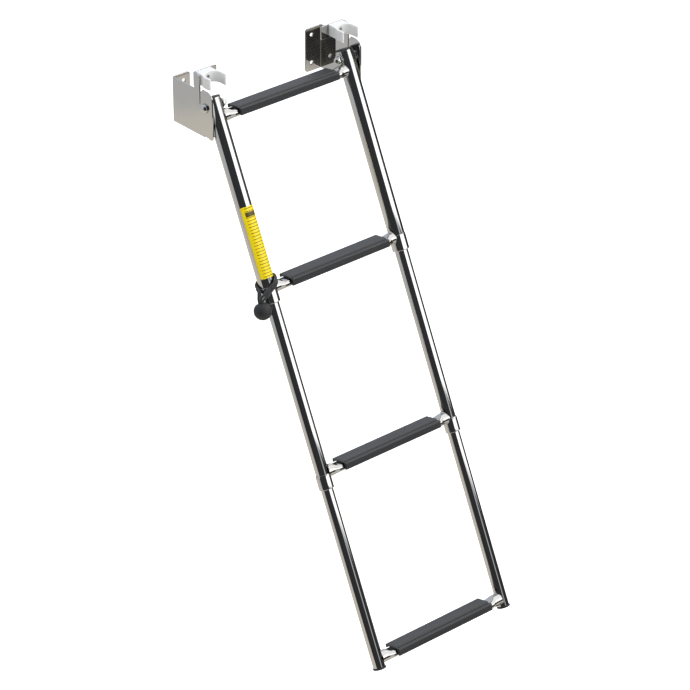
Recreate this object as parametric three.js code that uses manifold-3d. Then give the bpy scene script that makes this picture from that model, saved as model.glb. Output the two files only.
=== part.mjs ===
// Boat boarding ladder: two transom brackets carry a telescoping three-section ladder with four rungs.
// Millimetres. X runs along the rungs, -Y points outboard, +Z is up. The origin lies on the transom plane,
// midway between the brackets and level with the pivot axis.
import * as THREE from 'three';
import { mergeVertices } from 'three/addons/utils/BufferGeometryUtils.js';
import Module from 'manifold-3d';

const wasm = await Module();
wasm.setup();

// ---- Driving dimensions ----
const RAIL_X = 128; // rail axes are at X = -RAIL_X and +RAIL_X
const LEAN = 25; // degrees that the rails lean outboard
const GAP = 0.3; // between pieces that rest on each other
const SLIDE_GAP = 0.15; // between pieces that slide or turn in each other
const ROUND = 24; // sides on a rail tube
const SMALL_ROUND = 16; // sides on a fastener

// Distances called "down" are measured from the pivot axis along the rail, towards the foot.
const RUNG_DOWN = [18.3, 283.7, 575.2, 874.2];
const RUNG_TILT = [15, 15, 11, 11]; // degrees each rung is turned, rear edge up, from square to the rails
const TOP_END_DOWN = -13.5;
const FOOT_DOWN = 890;
const UPPER = { outer: 12.7, inner: 11.5, top: -11.5, foot: 280.7 };
const UPPER_COLLAR = { outer: 13.3, top: 281, foot: 306 };
const MIDDLE = { outer: 10.4, inner: 9.95, guide: 9.7, top: 265, step: 562, foot: 596 };
const LOWER_COLLAR = { outer: 11.75, top: 577, foot: 600, seat: 596.3, cone: 3, coneWidth: 0.6 };
const LOWER = { outer: 9.55, inner: 8.6, flare: 9.8, top: 555, flareFoot: 561.5, foot: 886.7 };

const CHAMFER = { collar: 1.2, plug: 0.8, cap: 0.6 };

const RUNG = { radius: 9.8, wall: 1.2, saddle: 4 };
const RUNG_FLAT = { halfWidth: 12, top: 5.2, foot: -7.2, end: 100, roundFrom: 113, squareness: 0.3 };
const RUNG_STATIONS = [0.78, 0.83, 0.88, 0.93, 1]; // of the half length, where the section is placed
const TREAD = { halfLength: 95.7, top: 8.9, rear: -15.5, front: 17, lip: -4.5, rearLip: 3, lipRound: 1.3 };
const TREAD_SHIFT = [0, 3.4, 1.5, -0.8]; // along X, as each tread sits on its rung
const TREAD_EDGE = { front: 3.4, rear: 3.4 }; // corner roundings along the top

const PLATE = { thick: 2.5, offset: 17, depth: 95, top: 24.5, foot: -48, frontTop: 28 };
const PLATE_CORNER = { top: 12, foot: 11, bend: 3.5 };
const PIVOT_OUT = 78; // pivot axis to transom plane
const FLANGE = { width: 33, corner: 5, holeAcross: 21, holeHeights: [12.5, -34], holeRadius: 2.75 };
const TOWER = { rear: 50, front: 66.2, top: 49.5, corner: 5 };
const TAB = { inboard: 27, foot: 27, corner: 3 };
const SLIT = { width: 1.2, foot: 3, notchWidth: 4.5, notchDepth: 6 };
const STOP_LUG = { rear: 77, front: 85.1, reach: 14 };
const CLIP = { bore: 13.1, halfWidth: 17, bulge: 26, widest: 3, neck: 12.2, height: 18, centre: 41 };
const CLIP_TIP = { out: 11.5, corner: 4 };
const CLIP_SCREW = { shank: 2, head: 3.6, headHeight: 2.8, hole: 2.3, counterbore: 4, seat: 17, proud: 2 };
const CLIP_NUT = { radius: 3.9, height: 3 };
const BOLT = { shank: 4, hole: 4.3, head: 7.8, headHeight: 6.2, rim: 1 };
const PIVOT_WASHER = { radius: 8, thick: 1.2 };
const PIVOT_NUT = { radius: 6.6, height: 8, bore: 5.1, crown: 5 };
const TOP_PLUG = { flange: 2, spigot: 6 };
const FOOT_CAP = { radius: 10.6, flange: 3, spigot: 12 };
const SLIDE_BUSH = { lip: 1.7, lipRadius: 8.5, foot: 280.4 };
const LABEL = { top: 156, foot: 267, halfAngle: 64, inner: 12.95, outer: 13.2 };
const CORD_RADIUS = 2.1;
const CORD_PITCH = 4.7; // between the two strands
const BALL = { radius: 13.9, flat: 11.7, x: -25.6, out: 8, down: 311 };

// The middle line between the two strands of the elastic cord, from the ball, up across the front of the
// rail, round its back and down to the ball again: sideways and outboard of the rail axis, and down the rail.
const CORD_ROUTE = [
  [-25.6, 11.0, 298.5],
  [-25.6, 11.0, 296.5],
  [-23.6, 12.6, 293.6],
  [-16.8, 15.4, 289.4],
  [-7.0, 15.7, 284.4],
  [4.0, 15.7, 278.8],
  [12.0, 10.4, 273.0],
  [15.7, 1.0, 268.6],
  [11.5, -10.8, 268.8],
  [0.0, -15.8, 272.0],
  [-11.5, -10.8, 277.5],
  [-16.2, -1.0, 283.5],
  [-20.4, 2.6, 290.0],
  [-23.4, 5.0, 296.0],
  [-23.4, 5.0, 298.5],
];
const CORD = { sides: 8, steps: 32, points: 28 };

const LAP = 0.02; // parts of one folded sheet run this far into each other before they are joined

const rad = THREE.MathUtils.degToRad;
const TURN = 2 * Math.PI;

// ---- Materials ----
const material = (color, roughness, metalness) =>
  new THREE.MeshStandardMaterial({ color, roughness, metalness });
const steel = () => material(0xc9cacb, 0.12, 1);
const blackPlastic = () => material(0x303133, 0.5, 0);
const blackRubber = () => material(0x1d1e20, 0.6, 0);
const whiteNylon = () => material(0xe9e9ea, 0.45, 0);
const yellowVinyl = () => material(0xf6dc10, 0.4, 0);
const elastic = () => material(0x1a1a1b, 0.8, 0);

// ---- Solids ----
function toSolid(geometry) {
  const bare = geometry.clone();
  bare.deleteAttribute('normal');
  bare.deleteAttribute('uv');
  const merged = mergeVertices(bare, 1e-4);
  const index = merged.index.array;
  const kept = [];
  for (let i = 0; i < index.length; i += 3) {
    const [a, b, c] = [index[i], index[i + 1], index[i + 2]];
    if (a !== b && b !== c && c !== a) kept.push(a, b, c);
  }
  const vertProperties = new Float32Array(merged.attributes.position.array);
  return new wasm.Manifold(new wasm.Mesh({ numProp: 3, vertProperties, triVerts: new Uint32Array(kept) }));
}

function fromSolid(solid) {
  const mesh = solid.getMesh();
  const geometry = new THREE.BufferGeometry();
  geometry.setAttribute('position', new THREE.BufferAttribute(new Float32Array(mesh.vertProperties), 3));
  geometry.setIndex(new THREE.BufferAttribute(new Uint32Array(mesh.triVerts), 1));
  geometry.computeVertexNormals();
  return geometry;
}

const join = (first, ...others) =>
  fromSolid(others.reduce((solid, other) => solid.add(toSolid(other)), toSolid(first)));
const cut = (body, ...tools) =>
  fromSolid(tools.reduce((solid, tool) => solid.subtract(toSolid(tool)), toSolid(body)));

function flipped(geometry) {
  const plain = geometry.index ? geometry.toNonIndexed() : geometry.clone();
  const place = plain.attributes.position;
  const corner = new THREE.Vector3();
  const other = new THREE.Vector3();
  for (let i = 0; i < place.count; i += 3) {
    corner.fromBufferAttribute(place, i + 1);
    other.fromBufferAttribute(place, i + 2);
    place.setXYZ(i + 1, other.x, other.y, other.z);
    place.setXYZ(i + 2, corner.x, corner.y, corner.z);
  }
  plain.computeVertexNormals();
  return plain;
}

// The same piece for the other side of the ladder, mirrored in the plane X = 0.
const mirrored = (geometry) =>
  flipped(geometry.clone().applyMatrix4(new THREE.Matrix4().makeScale(-1, 1, 1)));

// A shape drawn with its axes along "across" and "up" at "origin", and extruded towards across x up.
function slab(shape, depth, origin, across, up, steps = 1) {
  const geometry = new THREE.ExtrudeGeometry(shape, { depth, steps, bevelEnabled: false, curveSegments: 5 });
  const u = new THREE.Vector3(...across);
  const v = new THREE.Vector3(...up);
  const basis = new THREE.Matrix4().makeBasis(u, v, new THREE.Vector3().crossVectors(u, v));
  return geometry.applyMatrix4(basis.setPosition(...origin));
}

// A turned piece about the Z axis, from a closed list of [radius, height], listed from its foot upwards
// on the outside so that its faces point out.
function turned(profile, sides = ROUND) {
  const points = profile.map(([r, z]) => new THREE.Vector2(r, z));
  return new THREE.LatheGeometry(points, sides).rotateX(Math.PI / 2);
}

const ring = (inner, outer, foot, top, sides = ROUND) =>
  turned([[inner, foot], [outer, foot], [outer, top], [inner, top], [inner, foot]], sides);

const rod = (radius, foot, top, sides = ROUND) =>
  turned([[0, foot], [radius, foot], [radius, top], [0, top]], sides);

const alongX = (geometry) => geometry.rotateY(Math.PI / 2);
const alongY = (geometry) => geometry.rotateX(-Math.PI / 2);

// A dome of the given radius and height, as profile points from its rim to its crown.
const dome = (radius, foot, height, points = 4) =>
  Array.from({ length: points + 1 }, (_, i) => {
    const angle = (i / points) * (Math.PI / 2);
    return [i === points ? 0 : radius * Math.cos(angle), foot + height * Math.sin(angle)];
  });

const roundHole = (x, y, radius) => new THREE.Path().absarc(x, y, radius, 0, TURN, true);

// ---- Groups: the fixed frame, and the ladder that leans from the pivot axis ----
const ladder = new THREE.Group();
ladder.name = 'boarding_ladder';
const leaning = new THREE.Group();
leaning.position.set(0, -PIVOT_OUT, 0);
leaning.rotation.x = -rad(LEAN);
ladder.add(leaning);

function add(parent, name, geometry, finish, position = [0, 0, 0]) {
  const mesh = new THREE.Mesh(geometry, finish());
  mesh.name = name;
  mesh.position.set(...position);
  parent.add(mesh);
}

// In the leaning group the rail axis is the Z axis, so a piece at "down" lies at Z = -down.
const addOnRails = (name, make, finish) => {
  add(leaning, `${name}_left`, make(), finish, [-RAIL_X, 0, 0]);
  add(leaning, `${name}_right`, make(), finish, [RAIL_X, 0, 0]);
};

const addBothSides = (name, geometry, finish) => {
  add(ladder, `${name}_left`, mirrored(geometry), finish);
  add(ladder, `${name}_right`, geometry, finish);
};

// ---- Brackets (drawn for the right side) ----
const PLATE_X = RAIL_X + PLATE.offset; // outer face of the side plate

// Quarter bend between the side plate and a leaf that is turned inboard, outer face "out" from the transom.
function bendAt(out, foot, top) {
  const inside = PLATE_CORNER.bend - PLATE.thick;
  const shape = new THREE.Shape();
  shape.absarc(0, 0, PLATE_CORNER.bend, 0, Math.PI / 2, false);
  shape.absarc(0, 0, inside, Math.PI / 2, 0, true);
  const centre = [PLATE_X - PLATE_CORNER.bend, -(out + PLATE_CORNER.bend), foot];
  return slab(shape, top - foot, centre, [1, 0, 0], [0, 1, 0]);
}

function sidePlate() {
  const { depth, top, foot, frontTop } = PLATE;
  const { bend } = PLATE_CORNER;
  const slitFront = TOWER.front + SLIT.width;
  const shape = new THREE.Shape();
  shape.moveTo(bend - LAP, foot);
  shape.lineTo(depth - PLATE_CORNER.foot, foot);
  const corners = [
    [PLATE_CORNER.foot, foot + PLATE_CORNER.foot, -Math.PI / 2],
    [PLATE_CORNER.top, frontTop - PLATE_CORNER.top, 0],
  ];
  for (const [radius, height, start] of corners) {
    shape.absarc(depth - radius, height, radius, start, start + Math.PI / 2, false);
  }
  shape.lineTo(slitFront + SLIT.notchWidth, frontTop);
  shape.lineTo(slitFront, frontTop - SLIT.notchDepth);
  shape.lineTo(slitFront, SLIT.foot);
  shape.lineTo(TOWER.front, SLIT.foot);
  shape.lineTo(TOWER.front, TOWER.top - TOWER.corner);
  shape.absarc(TOWER.front - TOWER.corner, TOWER.top - TOWER.corner, TOWER.corner, 0, Math.PI / 2, false);
  shape.lineTo(TOWER.rear + bend - LAP, TOWER.top);
  shape.lineTo(TOWER.rear + bend - LAP, top);
  shape.lineTo(bend - LAP, top);
  shape.closePath();
  shape.holes.push(roundHole(PIVOT_OUT, 0, BOLT.hole));
  return slab(shape, PLATE.thick, [PLATE_X, 0, 0], [0, -1, 0], [0, 0, 1]);
}

// A leaf turned inboard, from the bend to "width", with its inboard corners rounded.
function leaf(out, width, foot, top, corner, holes) {
  const start = PLATE_CORNER.bend - LAP;
  const shape = new THREE.Shape();
  shape.moveTo(start, foot);
  shape.lineTo(width - corner, foot);
  shape.absarc(width - corner, foot + corner, corner, -Math.PI / 2, 0, false);
  shape.absarc(width - corner, top - corner, corner, 0, Math.PI / 2, false);
  shape.lineTo(start, top);
  shape.closePath();
  shape.holes.push(...holes);
  return slab(shape, PLATE.thick, [PLATE_X, -(out + PLATE.thick), 0], [-1, 0, 0], [0, 0, 1]);
}

function bracket() {
  const screwHoles = FLANGE.holeHeights.map((height) =>
    roundHole(FLANGE.holeAcross, height, FLANGE.holeRadius));
  const clipHole = roundHole(PLATE.offset, CLIP.centre, CLIP_SCREW.hole);
  const lug = new THREE.BoxGeometry(STOP_LUG.reach, STOP_LUG.front - STOP_LUG.rear, PLATE.thick);
  lug.translate(
    PLATE_X - (PLATE.thick + STOP_LUG.reach) / 2,
    -(STOP_LUG.front + STOP_LUG.rear) / 2,
    PLATE.foot + PLATE.thick / 2,
  );
  return join(
    sidePlate(),
    bendAt(0, PLATE.foot, PLATE.top),
    leaf(0, FLANGE.width, PLATE.foot, PLATE.top, FLANGE.corner, screwHoles),
    bendAt(TOWER.rear, TAB.foot, TOWER.top),
    leaf(TOWER.rear, PLATE.offset + TAB.inboard, TAB.foot, TOWER.top, TAB.corner, [clipHole]),
    lug,
  );
}

// ---- Clips: a U that opens outboard, its groove in line with the upright rail. Its bulging arms narrow
// towards the tips and towards the base, which fits behind the bracket's tower. ----
function clip() {
  const { bore, halfWidth, bulge, widest, neck } = CLIP;
  const { out: tip, corner } = CLIP_TIP;
  const back = PIVOT_OUT - TOWER.rear - PLATE.thick - GAP;
  const centre = halfWidth - bulge;
  const start = Math.asin((widest - tip + corner) / bulge);
  const end = Math.acos((neck - centre) / bulge);
  const side = centre + bulge * Math.cos(start);
  const nose = (bore + side) / 2;
  const shape = new THREE.Shape();
  shape.moveTo(bore, 0);
  shape.lineTo(bore, -tip + corner / 2);
  shape.quadraticCurveTo(bore, -tip, nose, -tip);
  shape.quadraticCurveTo(side, -tip, side, -tip + corner);
  shape.absarc(centre, -widest, bulge, start, end, false);
  shape.lineTo(neck, back - corner);
  shape.quadraticCurveTo(neck, back, neck - corner, back);
  shape.lineTo(-neck + corner, back);
  shape.quadraticCurveTo(-neck, back, -neck, back - corner);
  shape.absarc(-centre, -widest, bulge, Math.PI - end, Math.PI - start, false);
  shape.quadraticCurveTo(-side, -tip, -nose, -tip);
  shape.quadraticCurveTo(-bore, -tip, -bore, -tip + corner / 2);
  shape.lineTo(-bore, 0);
  shape.absarc(0, 0, bore, Math.PI, 0, true);
  const foot = CLIP.centre - CLIP.height / 2;
  const body = slab(shape, CLIP.height, [RAIL_X, -PIVOT_OUT, foot], [1, 0, 0], [0, 1, 0]);
  const hole = alongY(rod(CLIP_SCREW.hole, 0, back + 1, 12));
  const recess = alongY(rod(CLIP_SCREW.counterbore, 0, CLIP_SCREW.seat, SMALL_ROUND));
  for (const tool of [hole, recess]) tool.translate(RAIL_X, -PIVOT_OUT, CLIP.centre);
  return cut(body, hole, recess);
}

function clipScrew() {
  const seat = CLIP_SCREW.seat - GAP;
  const end = PIVOT_OUT - TOWER.rear + CLIP_NUT.height + CLIP_SCREW.proud;
  const crown = dome(CLIP_SCREW.head, 0, CLIP_SCREW.headHeight, 3).map(([r, h]) => [r, seat - h]);
  const profile = [...crown.reverse(), [CLIP_SCREW.shank, seat], [CLIP_SCREW.shank, end], [0, end]];
  return alongY(turned(profile, 12)).translate(RAIL_X, -PIVOT_OUT, CLIP.centre);
}

function clipNut() {
  const nut = alongY(ring(CLIP_SCREW.hole, CLIP_NUT.radius, 0, CLIP_NUT.height, 6));
  return nut.translate(RAIL_X, -TOWER.rear + GAP, CLIP.centre);
}

// ---- Pivots: bolt from outside, washers on both faces of the rail, domed nut inboard ----
const NUT_FACE_X = RAIL_X - UPPER.outer - 2 * GAP - PIVOT_WASHER.thick;

function pivotBolt() {
  const seat = PLATE_X + GAP;
  const end = NUT_FACE_X - PIVOT_NUT.bore;
  const head = dome(BOLT.head, seat + BOLT.rim, BOLT.headHeight - BOLT.rim);
  const profile = [[0, end], [BOLT.shank, end], [BOLT.shank, seat], [BOLT.head, seat], ...head];
  return alongX(turned(profile, SMALL_ROUND)).translate(0, -PIVOT_OUT, 0);
}

function washer(x) {
  const disc = ring(BOLT.hole, PIVOT_WASHER.radius, x, x + PIVOT_WASHER.thick, SMALL_ROUND);
  return alongX(disc).translate(0, -PIVOT_OUT, 0);
}

function pivotNut() {
  const rim = NUT_FACE_X - PIVOT_NUT.height + PIVOT_NUT.crown;
  const crown = dome(PIVOT_NUT.radius, 0, PIVOT_NUT.crown).map(([r, h]) => [r, rim - h]);
  const roof = NUT_FACE_X - PIVOT_NUT.bore - GAP;
  const profile = [
    ...crown.reverse(),
    [PIVOT_NUT.radius, NUT_FACE_X],
    [BOLT.hole, NUT_FACE_X],
    [BOLT.hole, roof],
    [0, roof],
  ];
  return alongX(turned(profile, SMALL_ROUND)).translate(0, -PIVOT_OUT, 0);
}

// ---- Rails ----
const tube = (outer, inner, top, foot) => ring(inner, outer, -foot, -top);

function upperRail() {
  const pivotHole = alongX(rod(BOLT.hole, -2 * UPPER.outer, 2 * UPPER.outer, SMALL_ROUND));
  return cut(tube(UPPER.outer, UPPER.inner, UPPER.top, UPPER.foot), pivotHole);
}

function topPlug() {
  const top = -TOP_END_DOWN;
  const seat = top - TOP_PLUG.flange + GAP;
  const spigot = UPPER.inner - GAP;
  return turned([
    [0, seat - TOP_PLUG.spigot],
    [spigot, seat - TOP_PLUG.spigot],
    [spigot, seat],
    [UPPER.outer, seat],
    [UPPER.outer, top - CHAMFER.plug],
    [UPPER.outer - CHAMFER.plug, top],
    [0, top],
  ]);
}

function upperCollar() {
  const bore = MIDDLE.outer + SLIDE_GAP;
  const { outer, top, foot } = UPPER_COLLAR;
  const edge = CHAMFER.collar;
  return turned([
    [bore, -foot], [outer - edge, -foot], [outer, -foot + edge], [outer, -top - CHAMFER.plug],
    [outer - CHAMFER.plug, -top], [bore, -top], [bore, -foot],
  ]);
}

function slideBush() {
  const bore = MIDDLE.outer + SLIDE_GAP;
  const outer = UPPER.inner - SLIDE_GAP;
  const underLip = -MIDDLE.top + GAP;
  const top = underLip + SLIDE_BUSH.lip;
  const foot = -SLIDE_BUSH.foot;
  const { lipRadius } = SLIDE_BUSH;
  return turned([
    [bore, foot], [outer, foot], [outer, top], [lipRadius, top], [lipRadius, underLip], [bore, underLip],
    [bore, foot],
  ]);
}

// The middle rail is drawn in below its step, so that it guides the lower rail and stops its flared end.
function middleRail() {
  const { outer, inner, guide, top, step, foot } = MIDDLE;
  return turned([
    [guide, -foot], [outer, -foot], [outer, -top], [inner, -top], [inner, -step], [guide, -step - 1],
    [guide, -foot],
  ]);
}

function lowerCollar() {
  const { outer, top, foot, seat, cone, coneWidth } = LOWER_COLLAR;
  const socket = MIDDLE.outer + GAP;
  const bore = MIDDLE.guide;
  const edge = CHAMFER.collar;
  return turned([
    [bore, -foot], [outer - edge, -foot], [outer, -foot + edge], [outer, -top - cone],
    [outer - coneWidth, -top], [socket, -top], [socket, -seat], [bore, -seat], [bore, -foot],
  ]);
}

function lowerRail() {
  const { outer, inner, flare, top, flareFoot, foot } = LOWER;
  return turned([
    [inner, -foot], [outer, -foot], [outer, -flareFoot - (flare - outer) * 2], [flare, -flareFoot],
    [flare, -top], [inner, -top], [inner, -foot],
  ]);
}

function footCap() {
  const { radius, flange, spigot } = FOOT_CAP;
  const stem = LOWER.inner - GAP;
  const foot = -FOOT_DOWN;
  const seat = foot + flange;
  const edge = CHAMFER.cap;
  return turned([
    [0, foot], [radius - edge, foot], [radius, foot + edge], [radius, seat - edge], [radius - edge, seat],
    [stem, seat], [stem, seat + spigot], [0, seat + spigot],
  ]);
}

// ---- Rungs: tube that is round at the rails and pressed flat under its tread ----
const smooth = (t) => t * t * (3 - 2 * t);

function rung(number, railRadius) {
  const { radius, wall } = RUNG;
  const half = RAIL_X - railRadius + RUNG.saddle;
  const section = new THREE.Shape().absarc(0, 0, radius, 0, TURN, false);
  section.holes.push(roundHole(0, 0, radius - wall));
  const stations = [...RUNG_STATIONS.map((part) => -part).reverse(), ...RUNG_STATIONS];
  const steps = stations.length - 1;
  const geometry = new THREE.ExtrudeGeometry(section, {
    depth: steps, steps, bevelEnabled: false, curveSegments: 8,
  });
  const { lerp, clamp } = THREE.MathUtils;
  const place = geometry.attributes.position;
  for (let i = 0; i < place.count; i += 1) {
    const [y, z] = [place.getX(i), place.getY(i)];
    const x = stations[Math.round(place.getZ(i))] * half;
    const inset = Math.hypot(y, z) > radius - wall / 2 ? 0 : wall;
    const angle = Math.atan2(z, y);
    const rounded = (Math.abs(x) - RUNG_FLAT.end) / (RUNG_FLAT.roundFrom - RUNG_FLAT.end);
    const flat = 1 - smooth(clamp(rounded, 0, 1));
    const halfWidth = lerp(radius, RUNG_FLAT.halfWidth, flat) - inset;
    const halfHeight = lerp(radius, (RUNG_FLAT.top - RUNG_FLAT.foot) / 2, flat) - inset;
    const centre = lerp(0, (RUNG_FLAT.top + RUNG_FLAT.foot) / 2, flat);
    const bulge = (value) => Math.sign(value) * Math.abs(value) ** (1 - RUNG_FLAT.squareness * flat);
    place.setXYZ(i, x, halfWidth * bulge(Math.cos(angle)), centre + halfHeight * bulge(Math.sin(angle)));
  }
  geometry.rotateX(rad(RUNG_TILT[number - 1]));
  const rails = [-RAIL_X, RAIL_X].map((x) =>
    rod(railRadius + GAP, -2 * radius, 2 * radius).translate(x, 0, 0));
  return cut(geometry, ...rails).translate(0, 0, -RUNG_DOWN[number - 1]);
}

// ---- Treads: a plastic channel that caps the flat of the rung, with a deeper lip along its front ----
function tread(number) {
  const { top, rear, front, lip, rearLip, lipRound, halfLength } = TREAD;
  const under = RUNG_FLAT.top + GAP;
  const inside = RUNG_FLAT.halfWidth + GAP;
  const shape = new THREE.Shape();
  shape.moveTo(rear, rearLip);
  shape.lineTo(-inside, rearLip);
  shape.lineTo(-inside, under);
  shape.lineTo(inside, under);
  shape.lineTo(inside, lip + lipRound);
  shape.quadraticCurveTo(inside, lip, inside + lipRound, lip);
  shape.lineTo(front - lipRound, lip);
  shape.quadraticCurveTo(front, lip, front, lip + lipRound);
  shape.lineTo(front, top - TREAD_EDGE.front);
  shape.quadraticCurveTo(front, top, front - TREAD_EDGE.front, top);
  shape.lineTo(rear + TREAD_EDGE.rear, top);
  shape.quadraticCurveTo(rear, top, rear, top - TREAD_EDGE.rear);
  shape.closePath();
  const channel = slab(shape, 2 * halfLength, [halfLength, 0, 0], [0, -1, 0], [0, 0, 1]);
  channel.rotateX(rad(RUNG_TILT[number - 1]));
  return channel.translate(TREAD_SHIFT[number - 1], 0, -RUNG_DOWN[number - 1]);
}

// ---- Label, elastic cord and ball on the left upper rail ----
function label() {
  const half = rad(LABEL.halfAngle);
  const shape = new THREE.Shape();
  shape.absarc(0, 0, LABEL.outer, -Math.PI / 2 - half, -Math.PI / 2 + half, false);
  shape.absarc(0, 0, LABEL.inner, -Math.PI / 2 + half, -Math.PI / 2 - half, true);
  return slab(shape, LABEL.foot - LABEL.top, [-RAIL_X, 0, -LABEL.foot], [1, 0, 0], [0, 1, 0]);
}

// One strand runs "aside" from the middle line, square to both the line and the rail's radius.
function strand(aside) {
  const middle = CORD_ROUTE.map(([x, out, down]) => new THREE.Vector3(x, -out, -down));
  const line = new THREE.CatmullRomCurve3(middle, false, 'centripetal');
  const points = Array.from({ length: CORD.points + 1 }, (_, i) => {
    const part = i / CORD.points;
    const at = line.getPointAt(part);
    const radial = new THREE.Vector3(at.x, at.y, 0).normalize();
    const sideways = new THREE.Vector3().crossVectors(radial, line.getTangentAt(part)).normalize();
    return at.addScaledVector(sideways, aside);
  });
  const section = new THREE.Shape().absarc(0, 0, CORD_RADIUS, 0, TURN, false);
  const geometry = new THREE.ExtrudeGeometry(section, {
    steps: CORD.steps,
    curveSegments: CORD.sides / 2,
    extrudePath: new THREE.CatmullRomCurve3(points),
  });
  return geometry.translate(-RAIL_X, 0, 0);
}

function ball() {
  const { radius, flat } = BALL;
  const last = Math.asin(flat / radius);
  const count = 9;
  const profile = [[0, -radius]];
  for (let i = 1; i <= count; i += 1) {
    const angle = -Math.PI / 2 + ((last + Math.PI / 2) * i) / count;
    profile.push([radius * Math.cos(angle), radius * Math.sin(angle)]);
  }
  profile.push([0, flat]);
  return turned(profile, SMALL_ROUND).translate(-RAIL_X + BALL.x, -BALL.out, -BALL.down);
}

// ---- Assembly ----
addBothSides('bracket', bracket(), steel);
addBothSides('clip', clip(), whiteNylon);
addBothSides('clip_screw', clipScrew(), steel);
addBothSides('clip_nut', clipNut(), steel);
addBothSides('pivot_bolt', pivotBolt(), steel);
addBothSides('plate_washer', washer(RAIL_X + UPPER.outer + GAP), steel);
addBothSides('nut_washer', washer(NUT_FACE_X + GAP), steel);
addBothSides('pivot_nut', pivotNut(), steel);

addOnRails('upper_rail', upperRail, steel);
addOnRails('top_plug', topPlug, blackPlastic);
addOnRails('upper_collar', upperCollar, steel);
addOnRails('slide_bush', slideBush, whiteNylon);
addOnRails('middle_rail', middleRail, steel);
addOnRails('lower_collar', lowerCollar, steel);
addOnRails('lower_rail', lowerRail, steel);
addOnRails('foot_cap', footCap, blackPlastic);

[UPPER.outer, UPPER_COLLAR.outer, LOWER_COLLAR.outer, LOWER.outer].forEach((railRadius, i) => {
  add(leaning, `rung_${i + 1}`, rung(i + 1, railRadius), steel);
  add(leaning, `tread_${i + 1}`, tread(i + 1), blackPlastic);
});

add(leaning, 'label', label(), yellowVinyl);
add(leaning, 'cord_strand_a', strand(-CORD_PITCH / 2), elastic);
add(leaning, 'cord_strand_b', strand(CORD_PITCH / 2), elastic);
add(leaning, 'cord_ball', ball(), blackRubber);

export default ladder;
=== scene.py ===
"""Boat boarding ladder: a telescoping ladder on two folded steel brackets, in a plain studio.

The shapes are drawn in millimetres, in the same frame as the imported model: X along the rungs,
-Y outboard, +Z up. A length called "down" is measured from the pivot axis along the leaning rail.
"""

from math import acos, asin, atan2, copysign, cos, pi, radians, sin, sqrt, tan

import bmesh
import bpy
from mathutils import Matrix, Vector


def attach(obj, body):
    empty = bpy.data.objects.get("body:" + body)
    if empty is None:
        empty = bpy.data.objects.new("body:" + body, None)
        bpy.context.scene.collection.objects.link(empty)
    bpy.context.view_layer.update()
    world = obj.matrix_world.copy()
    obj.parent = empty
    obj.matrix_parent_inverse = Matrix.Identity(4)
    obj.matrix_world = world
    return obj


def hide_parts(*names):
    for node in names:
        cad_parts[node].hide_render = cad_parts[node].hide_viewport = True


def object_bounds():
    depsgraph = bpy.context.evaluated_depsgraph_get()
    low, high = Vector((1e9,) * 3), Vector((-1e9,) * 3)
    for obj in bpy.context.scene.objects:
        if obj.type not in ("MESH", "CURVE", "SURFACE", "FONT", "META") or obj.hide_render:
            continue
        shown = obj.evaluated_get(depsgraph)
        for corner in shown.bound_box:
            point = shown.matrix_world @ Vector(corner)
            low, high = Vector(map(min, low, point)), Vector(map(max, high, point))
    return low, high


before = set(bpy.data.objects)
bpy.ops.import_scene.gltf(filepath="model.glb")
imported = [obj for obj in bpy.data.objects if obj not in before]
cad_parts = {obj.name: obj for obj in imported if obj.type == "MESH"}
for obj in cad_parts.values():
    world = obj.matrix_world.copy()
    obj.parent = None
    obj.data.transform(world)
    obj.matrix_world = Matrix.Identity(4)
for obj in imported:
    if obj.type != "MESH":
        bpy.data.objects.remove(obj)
CAD_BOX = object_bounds()

MM = 0.001
TURN = 2 * pi
SIDES = (("left", -1), ("right", 1))

# ---- Sizes, in millimetres ----
RAIL_X = 128
LEAN = 25
PIVOT_OUT = 78
RUNG_DOWN = (18.3, 283.7, 575.2, 874.2)
RUNG_TILT = (15, 15, 11, 11)
TREAD_SHIFT = (0, 3.4, 1.5, -0.8)
UPPER = {"outer": 12.7, "inner": 11.5, "top": -11.5, "foot": 280.7}
UPPER_COLLAR = {"outer": 13.3, "bore": 10.55, "top": 281, "foot": 306}
SLIDE_BUSH = {"outer": 11.35, "bore": 10.55, "lip_radius": 8.5, "lip": 1.7, "top": 264.7, "foot": 280.4}
MIDDLE = {"outer": 10.4, "inner": 9.95, "guide": 9.7, "top": 265, "step": 562, "foot": 596}
LOWER_COLLAR = {
    "outer": 11.75, "socket": 10.7, "bore": 9.7,
    "top": 577, "seat": 596.3, "foot": 600, "cone": 3, "cone_width": 0.6,
}
LOWER = {"outer": 9.55, "inner": 8.6, "flare": 9.8, "top": 555, "flare_foot": 561.5, "foot": 886.7}
FOOT_CAP = {"radius": 10.6, "top": 887, "foot": 890, "stem": 8.3, "stem_top": 875}
TOP_PLUG = {"top": -13.5, "seat": -11.8, "stem": 11.2, "stem_foot": -5.8}
RUNG_RADIUS = 9.8
RUNG_FLAT = {"half_width": 12, "top": 5.2, "foot": -7.2, "end": 100, "round_from": 113}
TREAD = {
    "half": 95.7, "top": 8.9, "rear": -15.5, "front": 17, "lip": -4.5, "rear_lip": 3,
    "under": 5.5, "inside": 12.6, "deck_drop": 0.2, "bead_drop": 1.9, "valley_drop": 2.5,
    "bead_end": 4.0, "valley_start": 5.4, "valley_end": 8.4, "deck_start": 9.0,
    "ribs": 9, "first_rib": 12.2, "rib_pitch": 2.2, "rib_depth": 0.14,
}
PLATE_X = RAIL_X + 17
THICK = 2.5
BEND = 3.5
PLATE = {"depth": 95, "top": 24.5, "foot": -48, "front_top": 28, "top_corner": 12, "foot_corner": 11}
FLANGE = {"width": 33, "corner": 5, "hole_across": 21, "top_hole": 12, "foot_hole": 14, "hole": 2.75}
TOWER = {"rear": 50, "front": 66.2, "top": 49.5, "corner": 5}
TAB = {"width": 44, "foot": 27, "corner": 3}
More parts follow.
